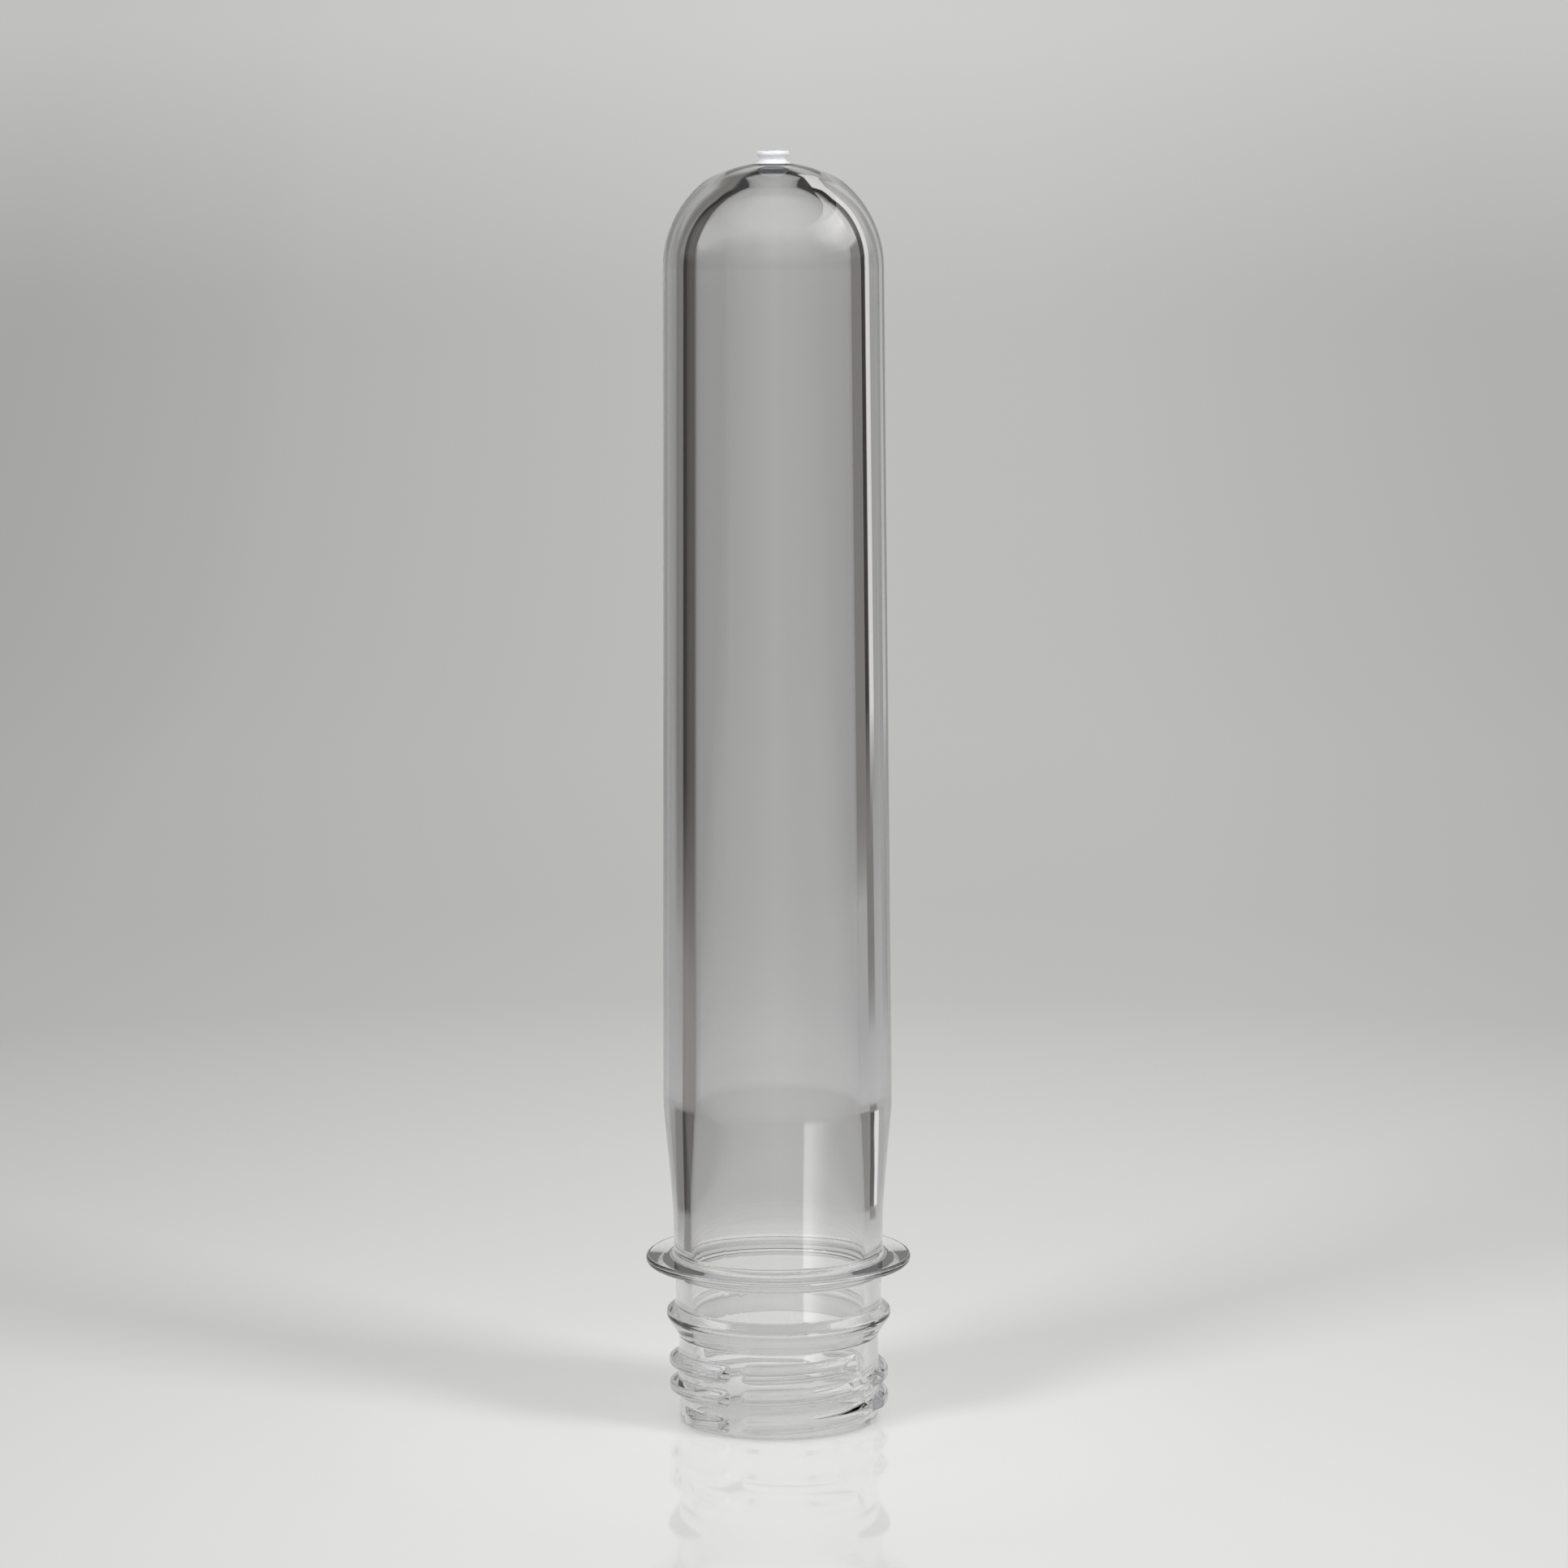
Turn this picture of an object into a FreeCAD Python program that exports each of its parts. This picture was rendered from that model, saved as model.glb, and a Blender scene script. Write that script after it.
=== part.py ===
"""Bottle preform: one injection-moulded blank of clear polyester, later blown into a bottle.

The mouth stands on the ground plane and the closed end points up. From the mouth upwards
there is the threaded neck finish, the tamper-band bead, the support ring, a tapered shoulder,
a long thick-walled body and a domed end that keeps the stub of its injection gate.

All sizes are millimetres. Z is the axis and the origin is the centre of the sealing face.
Walls and heights are stacked from the bore outwards and from the mouth upwards, so a change
of one size carries along everything that sits on it.
"""
import FreeCAD, Part
import math
import os
from FreeCAD import Vector

# Neck
bore_d = 21.74              # straight inside diameter of the neck
neck_wall = 1.6             # up to the root of the thread
lip_outer_chamfer = 0.45    # outer edge of the sealing face
lip_inner_chamfer = 0.25    # inner edge of the sealing face

# Thread: one right-hand start
thread_height = 1.245       # crest over root
thread_pitch = 3.18
thread_base = 2.1           # width of the ridge where it leaves the neck wall
thread_crest = 0.94         # width of its top, with the softened corners
thread_corner = 0.22        # how far down the flanks those corners reach
thread_start_z = 1.35       # middle of the ridge at its first end, above the sealing face
thread_start_angle = 200.0  # where that end is, in degrees from +X
thread_wrap = 841.0         # degrees from the first end to the last
thread_run_out = 10.0       # slope at which each end dives into the wall, in degrees
thread_section_step = 15.0  # degrees between the sections that the ridge is lofted through

# Vent slots, which let gas out through the thread as the cap is turned
vent_count = 4
vent_angle = -115.4         # middle of the first slot, in degrees from +X
vent_root_width = 1.7
vent_flare = 0.4            # how far each side leans out by the time it meets the crest

# Tamper-band bead and the collar between it and the ring
thread_to_bead = 1.07       # clear wall between the end of the thread and the bead
bead_height = 1.53          # crest over the neck wall
bead_lead_in = 2.3          # length of the cone that the cap's band slides up
bead_land = 0.7             # length of its outermost band
bead_undercut = 0.8         # length of the face that the band catches behind
bead_chamfer = 0.35
collar_wall = 1.98
collar_length = 4.4

# Support ring, which carries the blank through blowing and filling machines
ring_reach = 3.65           # out from the collar
ring_root = 1.9             # thickness at the collar
ring_edge = 0.9             # thickness at the rim
ring_chamfer = 0.2
ring_fillet = 0.8           # between the ring and the shank above it

# Shank and shoulder
shank_wall = 2.13
shank_length = 5.4
shoulder_length = 13.3
mould_step = 0.12           # witness of the joint between two mould inserts
mould_step_length = 0.25

# Body
core_step = 0.65            # how much smaller the cavity is in radius than the bore, at the foot of the body
body_wall = 4.0
body_draft = 0.4            # degrees on each side, narrower towards the closed end
body_length = 116.45        # from the foot of the body to the top of the dome
crown_blend_angle = 42.0    # how far from the axis the dome starts to flatten, in degrees
crown_blend_round = 7.0
crown_round = 17.0          # flatter middle of the dome
gate_wall = 2.2             # wall on the axis, under the gate

# Gate stub
gate_base_d = 4.2           # where it grows out of the dome
gate_waist_d = 2.9
gate_top_d = 3.9
gate_waist_height = 0.45    # from the dome to the narrowest place
gate_cone_height = 0.7      # from there out to the broken crown
gate_crown_height = 0.5

# Radii and heights that follow from the sizes above
bore_r = bore_d / 2
neck_r = bore_r + neck_wall
crest_r = neck_r + thread_height
bead_r = neck_r + bead_height
collar_r = bore_r + collar_wall
ring_r = collar_r + ring_reach
shank_r = bore_r + shank_wall
core_foot_r = bore_r - core_step
body_foot_r = core_foot_r + body_wall
thread_rise = thread_pitch * thread_wrap / 360
thread_end_z = thread_start_z + thread_rise
bead_low_z = thread_end_z + thread_base / 2 + thread_to_bead
bead_land_z = bead_low_z + bead_lead_in
bead_top_z = bead_land_z + bead_land
collar_low_z = bead_top_z + bead_undercut
ring_low_z = collar_low_z + collar_length
ring_face_z = ring_low_z + ring_root
shank_top_z = ring_face_z + shank_length
shoulder_top_z = shank_top_z + shoulder_length
body_foot_z = shoulder_top_z + mould_step_length
apex_z = body_foot_z + body_length
draft = math.radians(body_draft)


def point(r, z):
    """A point of the half section, as radius and height."""
    return Vector(r, 0, z)


def line(a, b):
    return Part.LineSegment(a, b).toShape()


def arc(centre, radius, start, end):
    """An arc of the half section. Angles are degrees from the radial direction."""
    def at(angle):
        turn = math.radians(angle)
        return centre + Vector(radius * math.cos(turn), 0, radius * math.sin(turn))
    return Part.Arc(at(start), at((start + end) / 2), at(end)).toShape()


def bent_line(corners):
    """Straight runs through corners given as (r, z), or as (r, z, "chamfer" or "round", size)."""
    edges = []
    here = point(*corners[0][:2])
    for index in range(1, len(corners) - 1):
        corner = point(*corners[index][:2])
        if len(corners[index]) == 2:
            edges.append(line(here, corner))
            here = corner
            continue
        kind, size = corners[index][2:]
        back = (point(*corners[index - 1][:2]) - corner).normalize()
        onward = (point(*corners[index + 1][:2]) - corner).normalize()
        half = back.getAngle(onward) / 2
        reach = size / math.tan(half) if kind == "round" else size
        entry = corner + back * reach
        leave = corner + onward * reach
        edges.append(line(here, entry))
        if kind == "round":
            middle = corner + (back + onward).normalize() * (size / math.sin(half) - size)
            edges.append(Part.Arc(entry, middle, leave).toShape())
        else:
            edges.append(line(entry, leave))
        here = leave
    edges.append(line(here, point(*corners[-1][:2])))
    return edges


def body_radius(z):
    """Outside radius of the drafted body at height z."""
    return body_foot_r - (z - body_foot_z) * math.tan(draft)


def crown_of(dome_r):
    """How a dome of this radius flattens: the blend arc's centre, the crown arc's centre height
    and half angle, and the height of the apex, all from the dome's own centre."""
    blend_turn = math.radians(crown_blend_angle)
    inset = dome_r - crown_blend_round
    blend_centre = (inset * math.sin(blend_turn), inset * math.cos(blend_turn))
    crown_half = math.asin(blend_centre[0] / (crown_round - crown_blend_round))
    crown_centre_z = blend_centre[1] - (crown_round - crown_blend_round) * math.cos(crown_half)
    return blend_centre, crown_centre_z, crown_half, crown_centre_z + crown_round


def settle_dome():
    """The dome's centre height and radius, so that the drafted body runs into it without a bend
    and its apex comes out at the right height. Each pass brings both closer."""
    dome_r = body_radius(apex_z)
    for _ in range(20):
        dome_z = apex_z - crown_of(dome_r)[3]
        dome_r = body_radius(dome_z) * math.cos(draft)
    return dome_z, dome_r


def settle_core():
    """The same for the round end of the cavity, which ends one gate wall below the apex."""
    core_r = core_foot_r
    for _ in range(20):
        core_z = apex_z - gate_wall - core_r
        core_r = (body_radius(core_z) - body_wall) * math.cos(draft)
    return core_z, core_r


def draft_tangent(centre_z, radius):
    """Where a drafted wall meets the round end that it runs into."""
    return radius * math.cos(draft), centre_z + radius * math.sin(draft)


def outside_to_dome(dome_z, dome_r):
    """Lip, neck, bead, collar, ring, shank, shoulder and body."""
    return bent_line([
        (bore_r, shank_top_z),
        (bore_r, 0, "chamfer", lip_inner_chamfer),
        (neck_r, 0, "chamfer", lip_outer_chamfer),
        (neck_r, bead_low_z),
        (bead_r, bead_land_z),
        (bead_r, bead_top_z, "chamfer", bead_chamfer),
        (collar_r, collar_low_z),
        (collar_r, ring_low_z),
        (ring_r, ring_face_z - ring_edge, "chamfer", ring_chamfer),
        (ring_r, ring_face_z, "chamfer", ring_chamfer),
        (shank_r, ring_face_z, "round", ring_fillet),
        (shank_r, shank_top_z),
        (body_foot_r - mould_step, shoulder_top_z),
        (body_foot_r, body_foot_z),
        draft_tangent(dome_z, dome_r),
    ])


def dome_and_gate(dome_z, dome_r):
    """The dome in three arcs, then the waisted stub that the gate broke off at."""
    blend_centre, crown_centre_z, crown_half, _ = crown_of(dome_r)
    blend_start = 90 - crown_blend_angle
    crown_start = 90 - math.degrees(crown_half)
    base_r = gate_base_d / 2
    crown_end = math.degrees(math.acos(base_r / crown_round))
    base_z = dome_z + crown_centre_z + math.sqrt(crown_round ** 2 - base_r ** 2)
    waist_z = base_z + gate_waist_height
    cone_z = waist_z + gate_cone_height
    top_z = cone_z + gate_crown_height
    arcs = [
        arc(point(0, dome_z), dome_r, body_draft, blend_start),
        arc(point(blend_centre[0], dome_z + blend_centre[1]), crown_blend_round, blend_start, crown_start),
        arc(point(0, dome_z + crown_centre_z), crown_round, crown_start, crown_end),
    ]
    stub = bent_line([
        (base_r, base_z),
        (gate_waist_d / 2, waist_z),
        (gate_top_d / 2, cone_z),
        (gate_top_d / 2, top_z),
        (0, top_z),
    ])
    return arcs + stub


def cavity(core_z, core_r):
    """The round end of the core, its drafted side and its taper out to the straight bore."""
    walls = bent_line([
        draft_tangent(core_z, core_r),
        (core_foot_r, body_foot_z),
        (bore_r, shank_top_z),
    ])
    return [arc(point(0, core_z), core_r, 90, body_draft)] + walls


def blank():
    """The whole preform without its thread, as one revolved half section."""
    inside = cavity(*settle_core())
    outside = outside_to_dome(*settle_dome()) + dome_and_gate(*settle_dome())
    axis = line(outside[-1].lastVertex().Point, inside[0].firstVertex().Point)
    section = Part.Wire(Part.__sortEdges__(outside + [axis] + inside))
    return Part.Face(section).revolve(Vector(0, 0, 0), Vector(0, 0, 1), 360)


def thread_section(angle, z):
    """The ridge's section in the half plane at this angle, rooted a little inside the wall."""
    lean = (thread_base - thread_crest) / 2 / thread_height
    depth = neck_wall / 4
    half = [
        (neck_r - depth, thread_base / 2 + depth * lean),
        (crest_r - thread_corner, thread_crest / 2 + thread_corner * lean),
        (crest_r, thread_crest / 2 - thread_corner / 2),
    ]
    outline = half + [(r, -up) for r, up in reversed(half)]
    turn = math.radians(angle)
    points = [Vector(r * math.cos(turn), r * math.sin(turn), z + up) for r, up in outline]
    return Part.makePolygon(points + points[:1])


def thread_ridge():
    """The unbroken helical ridge."""
    steps = math.ceil(thread_wrap / thread_section_step)
    sections = []
    for index in range(steps + 1):
        share = index / steps
        angle = thread_start_angle + thread_wrap * share
        sections.append(thread_section(angle, thread_start_z + thread_rise * share))
    return Part.makeLoft(sections, True)


def run_out_cutter(angle, z, side):
    """A block whose inner face slopes one end of the ridge down into the wall.

    side is 1 where the ridge goes on towards larger angles and -1 where it came from smaller ones.
    """
    face = neck_r * math.cos(math.radians(thread_run_out))
    low = z - thread_pitch / 2
    block = Part.makeBox(crest_r, crest_r, thread_pitch, Vector(face, 0, low))
    if side < 0:
        block = Part.makeBox(crest_r, crest_r, thread_pitch, Vector(face, -crest_r, low))
    block.rotate(Vector(0, 0, 0), Vector(0, 0, 1), angle - side * thread_run_out)
    return block


def vent_cutter(angle):
    """A slot through the ridge, wider at the crest than at the wall."""
    half_root = vent_root_width / 2
    half_crest = half_root + vent_flare
    low = thread_start_z - thread_base
    height = thread_rise + 2 * thread_base
    beyond = crest_r + thread_height
    half = [(0, half_root), (neck_r, half_root), (crest_r, half_crest), (beyond, half_crest)]
    outline = half + [(x, -y) for x, y in reversed(half)]
    points = [Vector(x, y, low) for x, y in outline]
    slot = Part.Face(Part.makePolygon(points + points[:1])).extrude(Vector(0, 0, height))
    slot.rotate(Vector(0, 0, 0), Vector(0, 0, 1), angle)
    return slot


def thread_lengths():
    """The ridge with sloped ends, parted by the vent slots."""
    cutters = [
        run_out_cutter(thread_start_angle, thread_start_z, 1),
        run_out_cutter(thread_start_angle + thread_wrap, thread_end_z, -1),
    ]
    for index in range(vent_count):
        cutters.append(vent_cutter(vent_angle + 360 * index / vent_count))
    return thread_ridge().cut(cutters).Solids


os.makedirs("parts", exist_ok=True)
preform = blank().fuse(thread_lengths()).removeSplitter().Solids[0]
preform.exportStep("parts/preform.step")
print("ring face", round(ring_face_z, 3), "apex", round(apex_z, 3))
print("valid", preform.isValid(), "faces", len(preform.Faces))
print("volume cm3", round(preform.Volume / 1000, 3), "height", round(preform.BoundBox.ZMax, 3))
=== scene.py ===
# %% [markdown]
# A bottle preform: the clear blank that a drink bottle is later blown from.
#
# The real one is a single shot of polyester. Its neck is already finished: screw thread, bead
# and support ring keep their size for ever, while the thick tube above them is heated and
# stretched later. This lesson dresses the measured solid of that blank in Blender. The shape
# follows a rule, an outline turned round an axis and a ridge wound round the neck, so Geometry
# Nodes can build it with far finer steps than the measured solid has. Clear plastic shows every
# facet, because each one bends the light that passes through it.

# %% Load the measured part
import math

import bmesh
import bpy
from mathutils import Euler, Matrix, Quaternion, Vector
from mathutils.noise import noise as noise_at


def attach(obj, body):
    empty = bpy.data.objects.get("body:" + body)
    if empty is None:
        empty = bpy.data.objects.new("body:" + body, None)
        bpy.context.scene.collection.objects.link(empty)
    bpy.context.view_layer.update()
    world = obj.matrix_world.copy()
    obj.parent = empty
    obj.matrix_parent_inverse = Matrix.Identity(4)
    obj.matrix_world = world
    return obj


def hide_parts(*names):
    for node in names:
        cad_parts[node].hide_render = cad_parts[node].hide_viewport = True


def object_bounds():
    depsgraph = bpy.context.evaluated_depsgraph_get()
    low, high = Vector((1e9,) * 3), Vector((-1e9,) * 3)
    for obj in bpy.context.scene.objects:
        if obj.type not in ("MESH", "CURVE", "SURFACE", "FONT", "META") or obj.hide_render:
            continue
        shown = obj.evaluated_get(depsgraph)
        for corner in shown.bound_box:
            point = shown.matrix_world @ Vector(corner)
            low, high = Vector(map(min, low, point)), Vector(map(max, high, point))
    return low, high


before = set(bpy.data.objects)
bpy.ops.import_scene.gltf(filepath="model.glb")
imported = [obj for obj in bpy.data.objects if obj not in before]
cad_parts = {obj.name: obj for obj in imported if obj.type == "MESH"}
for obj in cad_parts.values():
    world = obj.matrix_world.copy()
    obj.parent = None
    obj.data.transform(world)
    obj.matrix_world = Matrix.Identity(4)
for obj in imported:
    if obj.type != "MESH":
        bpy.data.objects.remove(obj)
cad_low, cad_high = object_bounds()
MM = 0.001
print("nodes", sorted(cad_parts), "height in mm", round(cad_high.z / MM, 2))

# %% [markdown]
# The photograph was taken from a little above the closed end, with a long lens. Both come from
# the ellipses of the ring and the mouth: their flatness gives the camera's height at two places,
# and from those follow the distance and the tilt. The picture is square, so the sensor's width
# stands for both sides.

# %% Camera
PHOTO_PIXELS = 1932
FOCAL_PIXELS = 6878
SENSOR_MM = 36
camera_distance = 0.6827
camera_height = 0.1755
camera_pitch = -7.96
camera_yaw = -0.083
camera_roll = -0.27

camera_data = bpy.data.cameras.new("camera")
camera_data.sensor_width = SENSOR_MM
camera_data.lens = SENSOR_MM * FOCAL_PIXELS / PHOTO_PIXELS
camera = bpy.data.objects.new("camera", camera_data)
bpy.context.scene.collection.objects.link(camera)
bpy.context.scene.camera = camera
camera.location = (0, -camera_distance, camera_height)
level = Euler((math.radians(90 + camera_pitch), 0, math.radians(camera_yaw))).to_quaternion()
camera.rotation_mode = "QUATERNION"
camera.rotation_quaternion = level @ Quaternion((0, 0, 1), math.radians(camera_roll))
print("lens in mm", round(camera_data.lens, 1))

# %% [markdown]
# Geometry and shading are both drawn with node trees, and most of what a tree needs here is
# arithmetic. Two small helpers keep that readable: one adds a node and fills its inputs, the
# other wraps a number that runs through a tree, so that a sum is written as a sum.


# %% Helpers for node trees
def unwrap(value):
    return value.socket if isinstance(value, Number) else value


def node(tree, kind, *values, into=None, **settings):
    """Add a node. values fill its inputs in order and into fills them by name."""
    made = tree.nodes.new(kind)
    for name, value in settings.items():
        setattr(made, name, value)
    filled = list(zip(made.inputs, values))
    filled += [(made.inputs[name], value) for name, value in (into or {}).items()]
    for socket, value in filled:
        value = unwrap(value)
        if isinstance(value, bpy.types.NodeSocket):
            tree.links.new(value, socket)
        elif value is not None:
            socket.default_value = value
    return made


class Number:
    """A number in a node tree. Sums with it become Math nodes."""

    def __init__(self, tree, socket):
        self.tree = tree
        self.socket = socket

    def math(self, operation, *others):
        made = node(self.tree, "ShaderNodeMath", self, *others, operation=operation)
        return Number(self.tree, made.outputs[0])

    def __add__(self, other):
        return self.math("ADD", other)

    def __sub__(self, other):
        return self.math("SUBTRACT", other)

    def __mul__(self, other):
        return self.math("MULTIPLY", other)

    def __truediv__(self, other):
        return self.math("DIVIDE", other)

    def clamped(self, low, high):
        return self.math("MAXIMUM", low).math("MINIMUM", high)


def split(tree, vector):
    """The three numbers of a vector."""
    made = node(tree, "ShaderNodeSeparateXYZ", vector)
    return [Number(tree, socket) for socket in made.outputs]


print("helpers ready")

# %% [markdown]
# The sizes are those of the common 28 mm neck for fizzy drinks, and of the body that the
# photograph shows on it. They are in millimetres, from the mouth at height 0 upwards.

# %% Sizes
bore_r = 10.87
neck_r = 12.47
lip_rounds = (0.25, 0.45)
thread_height = 1.245
thread_pitch = 3.18
thread_base = 2.1
thread_crest = 0.94
thread_start_z = 1.35
thread_start_angle = 200.0
thread_turns = 841 / 360
thread_run_out = 16.4
vent_count = 4
vent_angle = -115.4
vent_half_width = 0.85
vent_flare = 0.8
bead_r = 14.0
bead_low_z = 10.9
bead_land_z = 13.2
bead_top_z = 13.9
collar_r = 12.85
collar_low_z = 14.7
ring_low_z = 19.1
ring_edge_z = 20.1
ring_face_z = 21.0
ring_r = cad_high.x / MM
shank_r = 13.0
shank_top_z = 26.4
body_foot_z = 39.95
body_foot_r = 14.22
body_wall = 4.0
body_draft = 0.4
core_end_z = 144.75
dome_foot_z = 143.6
apex_z = 156.4
gate_wall = 2.8
gate_base_r = 2.1
gate_waist_r = 1.45
gate_top_r = 1.95
gate_top_z = cad_high.z / MM
print("ring radius", round(ring_r, 2), "top of the gate", round(gate_top_z, 2))

# %% [markdown]
# The outline is a chain of corners. Each corner is a radius, a height and a rounding, and a
# Fillet Curve node will round it. A dome is drawn the same way: the corner where the tangents
# at the two ends of an arc meet, rounded by the arc's own radius, gives back that arc.


# %% Outline of the inside, the outside and the thread
def arc_corner(centre_r, centre_z, radius, start, end):
    """The corner whose rounding is this arc. Angles are in degrees from the radial direction."""
    middle = math.radians((start + end) / 2)
    reach = radius / math.cos(math.radians((end - start) / 2))
    return centre_r + reach * math.cos(middle), centre_z + reach * math.sin(middle), radius


def wall_radius(z, wall):
    """Radius of the drafted body at height z, less a wall."""
    return body_foot_r - wall - (z - body_foot_z) * math.tan(math.radians(body_draft))


core_r = wall_radius(core_end_z, body_wall) * math.cos(math.radians(body_draft))
core_z = apex_z - gate_wall - core_r
thread_low_z = 0.5
thread_high_z = 10.4

inside = [
    (0, core_z + core_r, 0),
    arc_corner(0, core_z, core_r, body_draft, 90),
    (body_foot_r - body_wall, body_foot_z, 80),
    (bore_r, shank_top_z, 150),
    (bore_r, 0, lip_rounds[0]),
    (neck_r, 0, lip_rounds[1]),
    (neck_r, thread_low_z, 0),
]

crown_r = 17.0
blend_r = 7.0
blend_start = 48.0
dome_r = wall_radius(dome_foot_z, 0) * math.cos(math.radians(body_draft))
blend_centre_r = (dome_r - blend_r) * math.cos(math.radians(blend_start))
blend_rise = (dome_r - blend_r) * math.sin(math.radians(blend_start))
crown_start = math.degrees(math.acos(blend_centre_r / (crown_r - blend_r)))
crown_end = math.degrees(math.acos(gate_base_r / crown_r))
crown_drop = (crown_r - blend_r) * math.sin(math.radians(crown_start)) - blend_rise
dome_z = apex_z - crown_r + crown_drop
gate_base_z = apex_z - crown_r * (1 - math.sin(math.radians(crown_end)))
gate_root_z = gate_base_z + 0.6

outside = [
    (neck_r, thread_high_z, 0),
    (neck_r, bead_low_z, 0.6),
    (bead_r, bead_land_z, 1.3),
    (bead_r, bead_top_z, 0.55),
    (collar_r, collar_low_z, 0.5),
    (collar_r, ring_low_z, 0.8),
    (ring_r, ring_edge_z, 0.5),
    (ring_r, ring_face_z, 0.42),
    (shank_r, ring_face_z, 0.8),
    (shank_r, shank_top_z, 100),
    (body_foot_r, body_foot_z, 14),
    arc_corner(0, dome_z, dome_r, body_draft, blend_start),
    arc_corner(blend_centre_r, dome_z + blend_rise, blend_r, blend_start, crown_start),
    arc_corner(0, apex_z - crown_r, crown_r, crown_start, crown_end),
    (gate_base_r, gate_base_z, 0),
    (gate_waist_r - 0.05, gate_base_z + 0.45, 0.1),
    (gate_waist_r - 0.15, gate_root_z, 0),
    (0, gate_root_z, 0),
]

thread = [
    (0, -thread_pitch / 2, 0),
    (0, -thread_base / 2, 0.4),
    (thread_height, -thread_crest / 2, 0.6),
    (thread_height, thread_crest / 2, 0.6),
    (0, thread_base / 2, 0.4),
    (0, thread_pitch / 2, 0),
]
print("corners", len(inside), len(outside), len(thread), "dome radius", round(dome_r, 2))

# %% [markdown]
# A mesh of loose edges carries each outline into Geometry Nodes, because a mesh can hold named
# attributes: how far a corner is rounded, and in how many steps. Long straight runs get extra
# points, so that no face is a sliver as long as the tube.

# %% Outlines as meshes with attributes
STEP_DEGREES = 5
THREAD_STEP_DEGREES = 9
LONGEST_RUN = 6


def turn_at(before, here, after):
    """How far a chain turns at a corner, in degrees."""
    first = math.atan2(here[1] - before[1], here[0] - before[0])
    second = math.atan2(after[1] - here[1], after[0] - here[0])
    turn = abs(math.degrees(second - first)) % 360
    return min(turn, 360 - turn)


def points_object(name, points, rounding=None, steps=None):
    """A chain of points in millimetres, with its two attributes if it has them."""
    mesh = bpy.data.meshes.new(name)
    chain = [(i, i + 1) for i in range(len(points) - 1)]
    mesh.from_pydata([(x * MM, 0, z * MM) for x, z in points], chain, [])
    if rounding:
        mesh.attributes.new("rounding", "FLOAT", "POINT").data.foreach_set("value", rounding)
        mesh.attributes.new("steps", "INT", "POINT").data.foreach_set("value", steps)
    made = bpy.data.objects.new(name, mesh)
    bpy.context.scene.collection.objects.link(made)
    return made


def outline_object(name, corners, step_degrees=STEP_DEGREES):
    points, rounding, steps = [corners[0][:2]], [0.0], [1]
    for before, here, after in zip(corners, corners[1:], corners[2:] + [corners[-1]]):
        length = math.dist(before[:2], here[:2])
        parts = max(1, round((length - before[2] - here[2]) / LONGEST_RUN))
        for part in range(1, parts):
            share = (before[2] + (length - before[2] - here[2]) * part / parts) / length
            points.append([a + (b - a) * share for a, b in zip(before[:2], here[:2])])
            rounding.append(0.0)
            steps.append(1)
        points.append(here[:2])
        rounding.append(here[2] * MM)
        steps.append(max(2, math.ceil(turn_at(before, here, after) / step_degrees)))
    return points_object(name, points, rounding, steps)


outlines = [
    outline_object("inside_outline", inside),
    outline_object("outside_outline", outside),
    outline_object("thread_outline", thread, THREAD_STEP_DEGREES),
]
print("points in each chain", [len(o.data.vertices) for o in outlines])

# %% [markdown]
# Columns of faces run up the preform, and they stand closer together where the thread is parted
# by its vent slots, so that the ends of the ridges come out crisp. Each column's angle is the
# height of one point in another chain. The first column is where the thread starts: there the
# last column meets it one pitch higher, and the rows of the wound ridge join up.

# %% Columns
COLUMN_STEP = 1.5
vent_columns = (0, 1.6, 3.0, 3.7, 4.1, 4.5, 4.9, 5.3, 5.8, 6.6)
quarter = 180 / vent_count
side_count = math.ceil((quarter - vent_columns[-1]) / COLUMN_STEP)
side_step = (quarter - vent_columns[-1]) / side_count
offsets = list(vent_columns) + [vent_columns[-1] + side_step * (i + 1) for i in range(side_count)]
angles = {0.0, 360.0}
for vent in range(vent_count):
    for offset in offsets:
        for side in (-1, 1):
            angle = vent_angle + 2 * quarter * vent + side * offset - thread_start_angle
            angles.add(round(angle % 360, 3))
columns = points_object("columns", [(0, math.radians(angle) / MM) for angle in sorted(angles)])
print("columns", len(columns.data.vertices))

# %% [markdown]
# The tree lays a grid of rows and columns and moves each of its points into place. For the inside
# and the outside, the row picks a point of the rounded outline and the column turns it round the
# axis. For the thread, the rows repeat one pitch of its section and climb with the angle, so
# every edge of the ridge follows a line of faces. The ridge is cut down to the lowest of its
# limits: its own section, which sinks in a quarter circle towards each vent slot, the slope at
# its two ends, and a slope at the lip.


# %% Geometry Nodes tree
def named_input(tree, name, kind):
    tree.interface.new_socket(name, in_out="INPUT", socket_type=kind)


def tree_value(tree, group_in, name):
    return Number(tree, group_in.outputs[name])


def rounded_outline(tree, thing):
    """The outline object's chain as a curve with rounded corners."""
    shape = node(tree, "GeometryNodeObjectInfo", thing).outputs["Geometry"]
    curve = node(tree, "GeometryNodeMeshToCurve", shape).outputs[0]
    radius = node(tree, "GeometryNodeInputNamedAttribute", "rounding", data_type="FLOAT")
    count = node(tree, "GeometryNodeInputNamedAttribute", "steps", data_type="INT")
    sizes = {"Curve": curve, "Radius": radius.outputs[0], "Count": count.outputs[0]}
    return node(tree, "GeometryNodeFilletCurve", into=sizes, mode="POLY").outputs[0]


def sampled(tree, geometry, index):
    """The place of one point of another geometry, as three numbers."""
    place = node(tree, "GeometryNodeInputPosition").outputs[0]
    sizes = {"Geometry": geometry, "Value": place, "Index": index}
    made = node(tree, "GeometryNodeSampleIndex", into=sizes, data_type="FLOAT_VECTOR")
    return split(tree, made.outputs[0])


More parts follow.
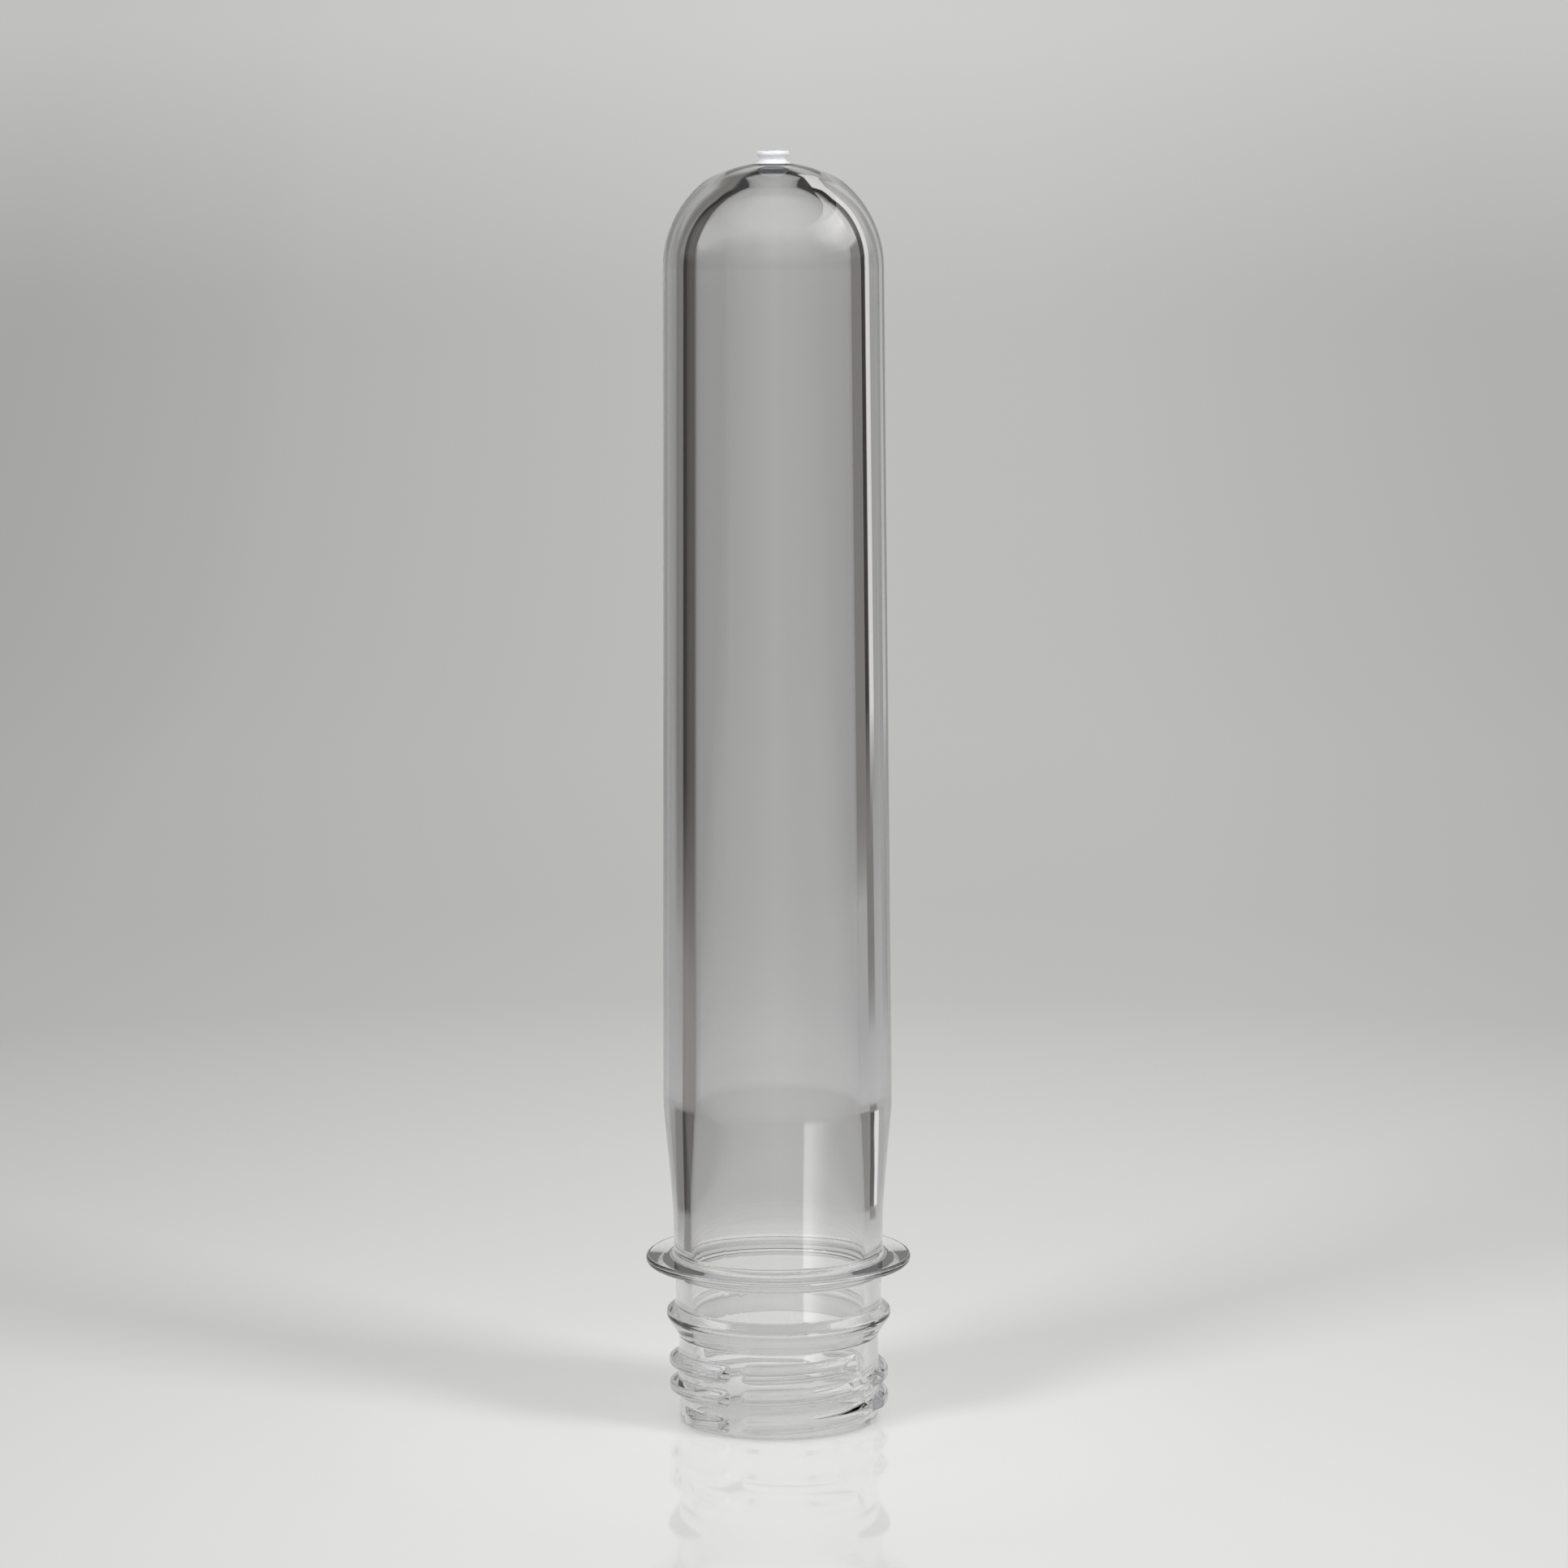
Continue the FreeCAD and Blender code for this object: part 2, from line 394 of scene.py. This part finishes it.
def laid_grid(tree, column_points, row_count):
    """A flat grid, with the row and the angle of each of its points."""
    size = node(tree, "GeometryNodeAttributeDomainSize", column_points, component="MESH")
    grid = node(tree, "GeometryNodeMeshGrid", 1.0, 1.0, size.outputs[0], row_count)
    index = Number(tree, node(tree, "GeometryNodeInputIndex").outputs[0])
    column = ((index + 0.5) / row_count).math("FLOOR")
    row = index - column * row_count
    angle = sampled(tree, column_points, column)[2]
    return grid.outputs[0], row, angle


def turned(tree, grid, radius, angle, z, first_angle):
    """The grid with its points moved to radius, angle and height."""
    turn = angle + first_angle
    place = node(tree, "ShaderNodeCombineXYZ", radius * turn.math("COSINE"),
                 radius * turn.math("SINE"), z).outputs[0]
    return node(tree, "GeometryNodeSetPosition", grid, None, place).outputs[0]


def curve_count(tree, curve):
    made = node(tree, "GeometryNodeAttributeDomainSize", curve, component="CURVE")
    return Number(tree, made.outputs["Point Count"])


def revolve(tree, curve, column_points, first_angle):
    grid, row, angle = laid_grid(tree, column_points, curve_count(tree, curve))
    radius, _, z = sampled(tree, curve, row)
    return turned(tree, grid, radius, angle, z, first_angle)


def wind_thread(tree, group_in, curve, column_points, first_angle):
    """The threaded stretch of the neck's outside."""
    def size(name):
        return tree_value(tree, group_in, name)
    pitch = size("Pitch")
    per_turn = curve_count(tree, curve) - 1
    grid, row, angle = laid_grid(tree, column_points, per_turn * size("Turns laid") + 1)
    lap = ((row + 0.5) / per_turn).math("FLOOR")
    height, _, offset = sampled(tree, curve, row - lap * per_turn)
    turns = angle / math.tau + lap - 1
    free_z = size("Start height") + turns * pitch + offset
    z = free_z.clamped(size("Low"), size("High"))
    slope = size("Ridge height") / size("Run out")
    start = turns * slope
    end = (size("Turns") - turns) * slope
    nearest_vent = (angle + first_angle - size("Vent angle")).math(
        "WRAP", size("Vent spacing") / 2, size("Vent spacing") / -2).math("ABSOLUTE")
    from_slot = nearest_vent * size("Neck radius") - size("Vent half width")
    sunk_side = (from_slot / size("Vent flare")).clamped(0, 1) * -1 + 1
    sunk_flank = height / size("Ridge height") * -1 + 1
    sunk = (sunk_side * sunk_side + sunk_flank * sunk_flank).math("SQRT")
    soft = size("Softness")
    lip = (z - size("Low")) * size("Lip slope")
    ridge = ((sunk * -1 + 1) * size("Ridge height")).math("SMOOTH_MIN", start, soft)
    ridge = ridge.math("SMOOTH_MIN", end, soft).math("MINIMUM", lip).math("MAXIMUM", 0.0)
    return turned(tree, grid, size("Neck radius") + ridge, angle, z, first_angle)


sizes_of_thread = {
    "Pitch": thread_pitch * MM,
    "Turns": thread_turns,
    "Turns laid": 5.0,
    "Start height": thread_start_z * MM,
    "First angle": math.radians(thread_start_angle),
    "Low": thread_low_z * MM,
    "High": thread_high_z * MM,
    "Ridge height": thread_height * MM,
    "Run out": thread_run_out / 360,
    "Neck radius": neck_r * MM,
    "Vent angle": math.radians(vent_angle),
    "Vent spacing": math.tau / vent_count,
    "Vent half width": vent_half_width * MM,
    "Vent flare": vent_flare * MM,
    "Softness": 0.25 * MM,
    "Lip slope": 3.0,
}
objects_of_tree = {"Inside": outlines[0], "Outside": outlines[1], "Thread": outlines[2],
                   "Columns": columns}

tree = bpy.data.node_groups.new("moulded_preform", "GeometryNodeTree")
named_input(tree, "Geometry", "NodeSocketGeometry")
for name in objects_of_tree:
    named_input(tree, name, "NodeSocketObject")
for name in sizes_of_thread:
    named_input(tree, name, "NodeSocketFloat")
named_input(tree, "Material", "NodeSocketMaterial")
tree.interface.new_socket("Geometry", in_out="OUTPUT", socket_type="NodeSocketGeometry")

group_in = tree.nodes.new("NodeGroupInput")
first_angle = tree_value(tree, group_in, "First angle")
column_points = node(tree, "GeometryNodeObjectInfo", group_in.outputs["Columns"])
column_points = column_points.outputs["Geometry"]
inside_curve, outside_curve, thread_curve = [
    rounded_outline(tree, group_in.outputs[name]) for name in ("Inside", "Outside", "Thread")]
inside_shape = revolve(tree, inside_curve, column_points, first_angle)
outside_shape = revolve(tree, outside_curve, column_points, first_angle)
thread_shape = wind_thread(tree, group_in, thread_curve, column_points, first_angle)
joined = tree.nodes.new("GeometryNodeJoinGeometry")
for shape in (inside_shape, outside_shape, thread_shape):
    tree.links.new(shape, joined.inputs[0])
merged = node(tree, "GeometryNodeMergeByDistance", joined.outputs[0],
              into={"Distance": 0.002 * MM}).outputs[0]
smooth = node(tree, "GeometryNodeSetShadeSmooth", merged).outputs[0]
real = node(tree, "GeometryNodeRealizeInstances", smooth).outputs[0]
painted = node(tree, "GeometryNodeSetMaterial", real,
               into={"Material": group_in.outputs["Material"]}).outputs[0]
node(tree, "NodeGroupOutput", painted)
print("nodes in the tree", len(tree.nodes))

# %% [markdown]
# Clear polyester is glass to Blender: full transmission, an index of refraction of 1.575 and a
# faint grey that deepens with the way through it. It is never quite perfect. The core that shapes
# the inside is polished lengthwise, which leaves faint streaks that bend what is seen through
# them, and the surface waves a little where it shrank.
#
# Two things need help, and a Light Path node gives it. Lamps must shine through the plastic, or
# its shadow would be as black as that of steel: a ray on its way to a lamp meets a see-through
# surface instead. It lets less through further up, for the light that a real tube bends out of
# its shadow. And deep in the thread light is mirrored from flank to flank, but Cycles drops a ray
# after four mirrorings and leaves a black spot. There a ray goes straight on after the third.


# %% Clear polyester
def new_material(name):
    """An empty material, and the node tree that its finish is built in."""
    made = bpy.data.materials.new(name)
    made.use_nodes = True
    made.node_tree.nodes.clear()
    return made, made.node_tree


def noise(tree, place, scale, detail):
    sizes = {"Vector": place, "Scale": scale, "Detail": detail}
    return Number(tree, node(tree, "ShaderNodeTexNoise", into=sizes).outputs[0])


def colour_between(tree, share, first, second):
    """The first colour where share is 0, and the second where it is 1."""
    first_socket, second_socket, result_socket = 6, 7, 2
    made = node(tree, "ShaderNodeMix", data_type="RGBA", into={"Factor": share})
    made.inputs[first_socket].default_value = (*first, 1)
    made.inputs[second_socket].default_value = (*second, 1)
    return made.outputs[result_socket]


material, paint = new_material("clear_polyester")
place = node(paint, "ShaderNodeTexCoord").outputs["Object"]
stretched = node(paint, "ShaderNodeMapping", place, into={"Scale": (1, 1, 0.06)}).outputs[0]
streaks = noise(paint, stretched, 260.0, 2.0) * 0.05
waves = noise(paint, place, 55.0, 1.0) * 0.5
bump = node(paint, "ShaderNodeBump", into={
    "Strength": 0.25, "Distance": 0.0001, "Height": streaks + waves}).outputs[0]
plastic = node(paint, "ShaderNodeBsdfPrincipled", into={
    "Base Color": (0.995, 0.995, 0.995, 1),
    "Roughness": 0.0,
    "IOR": 1.575,
    "Transmission Weight": 1.0,
    "Normal": bump,
}).outputs[0]
height = split(paint, place)[2] / MM
passed_low, passed_high = 0.95, 0.44
loss_from_z, loss_per_mm = 4, 0.032
passed = (height - loss_from_z) * -loss_per_mm + passed_low
passed = passed.clamped(passed_high, passed_low)
see_through = node(paint, "ShaderNodeBsdfTransparent", passed).outputs[0]
straight_on = node(paint, "ShaderNodeBsdfTransparent", (1, 1, 1, 1)).outputs[0]
path = node(paint, "ShaderNodeLightPath")
in_thread = height.math("LESS_THAN", collar_low_z + 1)
mirrored = Number(paint, path.outputs["Glossy Depth"])
lost = mirrored.math("GREATER_THAN", 2.5) * in_thread
surface = node(paint, "ShaderNodeMixShader", lost, plastic, straight_on).outputs[0]
surface = node(paint, "ShaderNodeMixShader", path.outputs["Is Shadow Ray"],
               surface, see_through).outputs[0]
depth = node(paint, "ShaderNodeVolumeAbsorption", (0.36, 0.34, 0.42, 1), 30.0).outputs[0]
node(paint, "ShaderNodeOutputMaterial", surface, depth)
print("material", material.name)

# %% [markdown]
# The tree becomes a plain mesh once its inputs are set. A weighted normal then lets the large
# smooth faces keep their own direction and leaves all the turning to the small faces of the
# rounded edges, as on the polished mould.

# %% The moulded piece
mould = bpy.data.objects.new("mould", bpy.data.meshes.new("mould"))
bpy.context.scene.collection.objects.link(mould)
modifier = mould.modifiers.new("moulded_preform", "NODES")
modifier.node_group = tree
values = {**objects_of_tree, **sizes_of_thread, "Material": material}
for item in tree.interface.items_tree:
    if item.in_out == "INPUT" and item.name in values:
        modifier[item.identifier] = values[item.name]
weighted = mould.modifiers.new("weighted_normal", "WEIGHTED_NORMAL")
weighted.keep_sharp = False

seen = mould.evaluated_get(bpy.context.evaluated_depsgraph_get())
mesh = bpy.data.meshes.new_from_object(seen)
mesh.name = "preform_clear"
preform = bpy.data.objects.new("preform_clear", mesh)
bpy.context.scene.collection.objects.link(preform)
for helper in [mould, columns, *outlines]:
    bpy.data.objects.remove(helper)
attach(preform, "root")
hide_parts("preform")
mesh.calc_loop_triangles()
print("triangles", len(mesh.loop_triangles), "points", len(mesh.vertices))

# %% [markdown]
# The plastic reached the mould through a narrow gate at the closed end. The stub of it that broke
# off is torn and crazed, so it scatters light and looks white. It is a small piece of its own
# here, set over the clear root of the stub: noise tears its top, and it is mostly a pale, matt
# surface that lets only a little light through.


# %% Torn end of the gate
def turned_mesh(name, outline, steps):
    """A mesh made by turning an outline of (radius, height) points in metres round the axis."""
    points, faces = [], []
    for step in range(steps):
        turn = math.tau * step / steps
        for radius, height in outline:
            points.append((radius * math.sin(turn), radius * math.cos(turn), height))
    rows = len(outline)
    for step in range(steps):
        low = step * rows
        beside = (step + 1) % steps * rows
        for row in range(rows - 1):
            faces.append((low + row, beside + row, beside + row + 1, low + row + 1))
    made = bpy.data.meshes.new(name)
    made.from_pydata(points, [], faces)
    shape = bmesh.new()
    shape.from_mesh(made)
    bmesh.ops.remove_doubles(shape, verts=shape.verts, dist=0.001 * MM)
    shape.to_mesh(made)
    shape.free()
    made.shade_smooth()
    return made


gate_side = [(0, -0.25), (1.6, -0.2), (2.3, -0.06), (1.75, 0.25), (gate_waist_r, 0.5),
             (1.62, 0.75), (1.82, 0.95), (gate_top_r, 1.15)]
gate_side = [(r, gate_base_z + z) for r, z in gate_side]
gate_side += [(gate_top_r, gate_top_z - 0.12), (gate_top_r - 0.1, gate_top_z)]
gate_top = [(gate_top_r * share, gate_top_z) for share in (0.82, 0.68, 0.54, 0.4, 0.27, 0.13, 0)]
gate_mesh = turned_mesh("gate_break", [(r * MM, z * MM) for r, z in gate_side + gate_top], 72)
tear_depth = 0.4
tear_scale = 1600
for point in gate_mesh.vertices:
    high = (point.co.z / MM - gate_root_z) / (gate_top_z - gate_root_z)
    tear = noise_at(point.co * tear_scale) * 0.5 + 0.5
    point.co.z -= max(high, 0) * tear * tear_depth * MM
gate = bpy.data.objects.new("gate_break", gate_mesh)
bpy.context.scene.collection.objects.link(gate)

frosted, paint = new_material("frosted_break")
place = node(paint, "ShaderNodeTexCoord").outputs["Object"]
# The pale colour is the crazed break's own; the brighter flecks in it are painted glints.
painted_glint = (noise(paint, place, 2600.0, 2.0) * 2.5 - 0.75).clamped(0, 1)
pale = colour_between(paint, painted_glint, (0.78, 0.80, 0.83), (0.90, 0.92, 0.95))
bump = node(paint, "ShaderNodeBump", into={
    "Strength": 0.8, "Distance": 0.0001, "Height": noise(paint, place, 3500.0, 3.0)}).outputs[0]
matt = node(paint, "ShaderNodeBsdfPrincipled", into={
    "Base Color": pale,
    "Roughness": 0.35,
    "IOR": 1.575,
    "Transmission Weight": 0.08,
    "Normal": bump,
}).outputs[0]
node(paint, "ShaderNodeOutputMaterial", matt)
gate_mesh.materials.append(frosted)
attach(gate, "root")
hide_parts("preform")
print("gate faces", len(gate_mesh.polygons))

# %% [markdown]
# The set is a sheet of pale paper on a table that sweeps up behind the preform. Here it is a
# wide bowl, so that the preform stands against the same paper from every side. It lies a hair
# under the mouth, because two faces in one plane can't be told apart by a ray.

# %% Paper sweep
table_r = 0.75
table_z = -0.0001
sweep_r = 0.55
wall_top = 1.3
sweep_steps = 12
sweep_outline = [(0, table_z), (table_r / 2, table_z), (table_r, table_z)]
for step in range(1, sweep_steps + 1):
    turn = math.radians(90 * step / sweep_steps)
    rise = sweep_r * (1 - math.cos(turn)) + table_z
    sweep_outline.append((table_r + sweep_r * math.sin(turn), rise))
sweep_outline.append((table_r + sweep_r, wall_top))
sweep = bpy.data.objects.new("paper_sweep", turned_mesh("paper_sweep", sweep_outline, 96))
bpy.context.scene.collection.objects.link(sweep)
print("sweep radius", table_r + sweep_r)

# %% [markdown]
# The paper is slightly glossy, so that it mirrors the neck. Its colour carries painted light and
# shade: it is brightest round the preform and darker where it rises, and darker again towards
# both sides. Beyond the reach of the preform's shadow it glows by itself with the tone that it
# should show, instead of being lit. That looks alike, and a ray that ends there needs no further
# bounces, which halves the time of a render.

# %% Paper
paper, paint = new_material("paper")
x, y, z = split(paint, node(paint, "ShaderNodeTexCoord").outputs["Object"])
out = (x * x + y * y).math("SQRT")
away = ((out - 0.05) / 0.1).clamped(0, 1)
# Painted shade towards both sides, lessened higher up the wall, where painted light lifts the
# tone.
to_left = (x * -1).clamped(0, 0.16) + (x * -1.2 - 0.17).clamped(0, 0.1)
to_right = (x * 0.2).clamped(0, 0.05) + (x * 0.75 - 0.06).clamped(0, 0.1)
lift = (z - 0.09).clamped(0, 0.08)
light = lift + 1 - away * (to_left + to_right) * (lift * -5 + 1)
ramp = node(paint, "ShaderNodeValToRGB", out / (table_r + sweep_r))
# Tones by distance from the axis: a painted pool of light round the preform's foot, falling to an
# even tone farther out and lighter again up the wall.
tones = [
    (0.012, (0.862, 0.862, 0.852)),
    (0.025, (0.778, 0.778, 0.768)),
    (0.06, (0.700, 0.700, 0.692)),
    (0.10, (0.672, 0.672, 0.664)),
    (0.16, (0.648, 0.648, 0.638)),
    (0.23, (0.584, 0.584, 0.574)),
    (0.30, (0.512, 0.513, 0.501)),
    (0.40, (0.497, 0.499, 0.485)),
    (0.64, (0.510, 0.513, 0.497)),
    (0.88, (0.509, 0.512, 0.496)),
    (1.03, (0.509, 0.512, 0.496)),
    (1.14, (0.571, 0.574, 0.557)),
]
stops = ramp.color_ramp.elements
while len(stops) < len(tones):
    stops.new(1)
for stop, (radius, tone) in zip(stops, tones):
    stop.position = radius / (table_r + sweep_r)
    stop.color = (*tone, 1)
tone = node(paint, "ShaderNodeVectorMath", ramp.outputs[0], operation="SCALE",
            into={"Scale": light}).outputs[0]
sheet = node(paint, "ShaderNodeBsdfPrincipled", into={
    "Base Color": tone,
    "Roughness": 0.05,
    "Specular IOR Level": 0.3,
}).outputs[0]
lit_r, glow_r = 0.19, 0.29
glow = node(paint, "ShaderNodeEmission", tone, 1.0).outputs[0]
beyond = ((out - lit_r) / (glow_r - lit_r)).clamped(0, 1)
sheet = node(paint, "ShaderNodeMixShader", beyond, sheet, glow).outputs[0]
print("tones", len(stops))

# %% [markdown]
# Clear things are drawn by what stands round them. Photographers put dark and white cards beside
# the picture and leave the room behind the camera dark, and the thick wall of the tube carries
# all that inwards as thin lines along its edges. Here the cards are painted on the bowl, and
# only light that was mirrored once in the plastic sees them, so that the paper itself stays plain
# from every side. Each patch has a range of azimuth, with 0 behind the preform and 90 on its
# right, a range of elevation seen from the preform's middle, a brightness, and how soft its edges
# are. The last one, a glare on the table, shows only in the outer surface and fades to the right.


# %% Surroundings
def band(value, low, high, soft):
    """1 where value lies between low and high, and 0 elsewhere, with edges this soft."""
    rising = ((value - low) / soft + 0.5).clamped(0, 1)
    falling = ((value - high) / -soft + 0.5).clamped(0, 1)
    return rising * falling


def mirrored_once(tree):
    """1 for rays that were mirrored just once, crossed one wall at most and met nothing matt."""
    path = node(tree, "ShaderNodeLightPath")
    times = Number(tree, path.outputs["Glossy Depth"])
    clean = Number(tree, path.outputs["Diffuse Depth"]).math("LESS_THAN", 0.5)
    one_wall = Number(tree, path.outputs["Transmission Depth"]).math("LESS_THAN", 3.5)
    return times.math("COMPARE", 1.0, 0.5) * clean * one_wall


SKY = 90
MIDDLE = 0.08
GLARE = "glare of the right lamp"
patches = [
    ("dark room", (-100, 100), (34, SKY), 0.04, (20, 10)),
    ("dim left of the paper", (-42, -24), (-9, 40), 0.22, (10, 6)),
    ("left edge of the table", (-75, -41), (-40, -11), 0.27, (2, 8)),
    ("left side", (-130, -41), (-10, 9), 0.16, (2, 6)),
    ("left dim card", (-64, -54), (-10, SKY), 0.10, (1, 6)),
    ("left dark card", (-54, -48.5), (-10, SKY), 0.075, (1, 5)),
    ("left black card", (-48.5, -41), (-10, SKY), 0.02, (1, 5)),
    ("room behind the camera, left", (-200, -130), (-9, 12), 0.03, (20, 8)),
    ("room behind the camera, right", (130, 200), (-9, 12), 0.03, (20, 8)),
    ("right edge of the table", (31, 48), (-14, -8), 0.20, (1, 4)),
    ("right side", (46, 130), (-9, 9), 0.22, (2, 3)),
    ("right white card", (25, 36.5), (-7.2, 40), 0.88, (3, 2)),
    ("right black card", (36.5, 47), (-7.5, SKY), 0.01, (0.6, 3)),
    ("right lamp", (58, 122), (18, 50), 1.9, (30, 14)),
    ("left lamp", (-155, -112), (14, 44), 0.5, (24, 12)),
    (GLARE, (118, 155), (-62, -22), 4.0, (3, 14)),
]
azimuth = x.math("ARCTAN2", y).math("DEGREES")
elevation = (z - MIDDLE).math("ARCTAN2", out).math("DEGREES")
bright = Number(paint, node(paint, "ShaderNodeValue").outputs[0])
bare = bright * 0 + 1
path = node(paint, "ShaderNodeLightPath")
at_front = Number(paint, path.outputs["Transmission Depth"]).math("LESS_THAN", 0.5)
faded = ((azimuth - 118) / 30).clamped(0, 1)
for name, sides, heights, brightness, (soft_sides, soft_heights) in patches:
    covered = band(azimuth, *sides, soft_sides) * band(elevation, *heights, soft_heights)
    if name == GLARE:
        covered = covered * at_front * faded
    bright = bright + (bright * -1 + brightness) * covered
    bare = bare * (covered * -1 + 1)
warmth = colour_between(paint, (bright * 2.5).clamped(0, 1), (1.0, 0.92, 0.80), (1.0, 0.99, 0.95))
card = node(paint, "ShaderNodeEmission", warmth, bright).outputs[0]
around = node(paint, "ShaderNodeMixShader", bare, card, sheet).outputs[0]
seen_as = node(paint, "ShaderNodeMixShader", mirrored_once(paint), sheet, around).outputs[0]
node(paint, "ShaderNodeOutputMaterial", seen_as)
paper.cycles.emission_sampling = "NONE"
sweep.data.materials.append(paper)
print("patches", len(patches))

# %% [markdown]
# Two soft boxes stand left and right of the camera, and their shadows fall back to either side
# as in the photograph. The plastic doesn't mirror them: it mirrors the softer lamps painted
# above. The room above the bowl is a plain pale grey. Light that was mirrored once sees it nearly
# black behind the preform, and half as bright on the camera's side.


# %% Lamps and room
LAMP_DISTANCE = 1.0
LAMP_SIDE = 0.28
AIM_Z = 0.05


def soft_box(name, azimuth, elevation, watts):
    """A square lamp that faces the preform. Azimuth 0 is the camera's side."""
    data = bpy.data.lights.new(name, "AREA")
    data.shape = "SQUARE"
    data.size = LAMP_SIDE
    data.energy = watts
    made = bpy.data.objects.new(name, data)
    bpy.context.scene.collection.objects.link(made)
    side, up = math.radians(azimuth), math.radians(elevation)
    made.location = (LAMP_DISTANCE * math.cos(up) * math.sin(side),
                     -LAMP_DISTANCE * math.cos(up) * math.cos(side),
                     LAMP_DISTANCE * math.sin(up) + AIM_Z)
    made.rotation_euler = (math.radians(90) - up, 0, side)
    made.visible_camera = False
    made.visible_glossy = False
    made.visible_transmission = False
    return made


soft_box("soft_box_left", azimuth=-44, elevation=33, watts=5.0)
soft_box("soft_box_right", azimuth=57, elevation=33, watts=5.6)

world = bpy.data.worlds.new("room")
bpy.context.scene.world = world
world.use_nodes = True
paint = world.node_tree
paint.nodes.clear()
towards = split(paint, node(paint, "ShaderNodeTexCoord").outputs["Generated"])[1]
front = (towards * -4 + 0.5).clamped(0, 1)
room_light, taken_away, given_back = 0.60, 0.56, 0.5
strength = mirrored_once(paint) * (front * given_back - taken_away) + room_light
air = node(paint, "ShaderNodeBackground", (1, 1, 0.99, 1), strength).outputs[0]
node(paint, "ShaderNodeOutputWorld", air)
bpy.context.scene.view_settings.view_transform = "Standard"
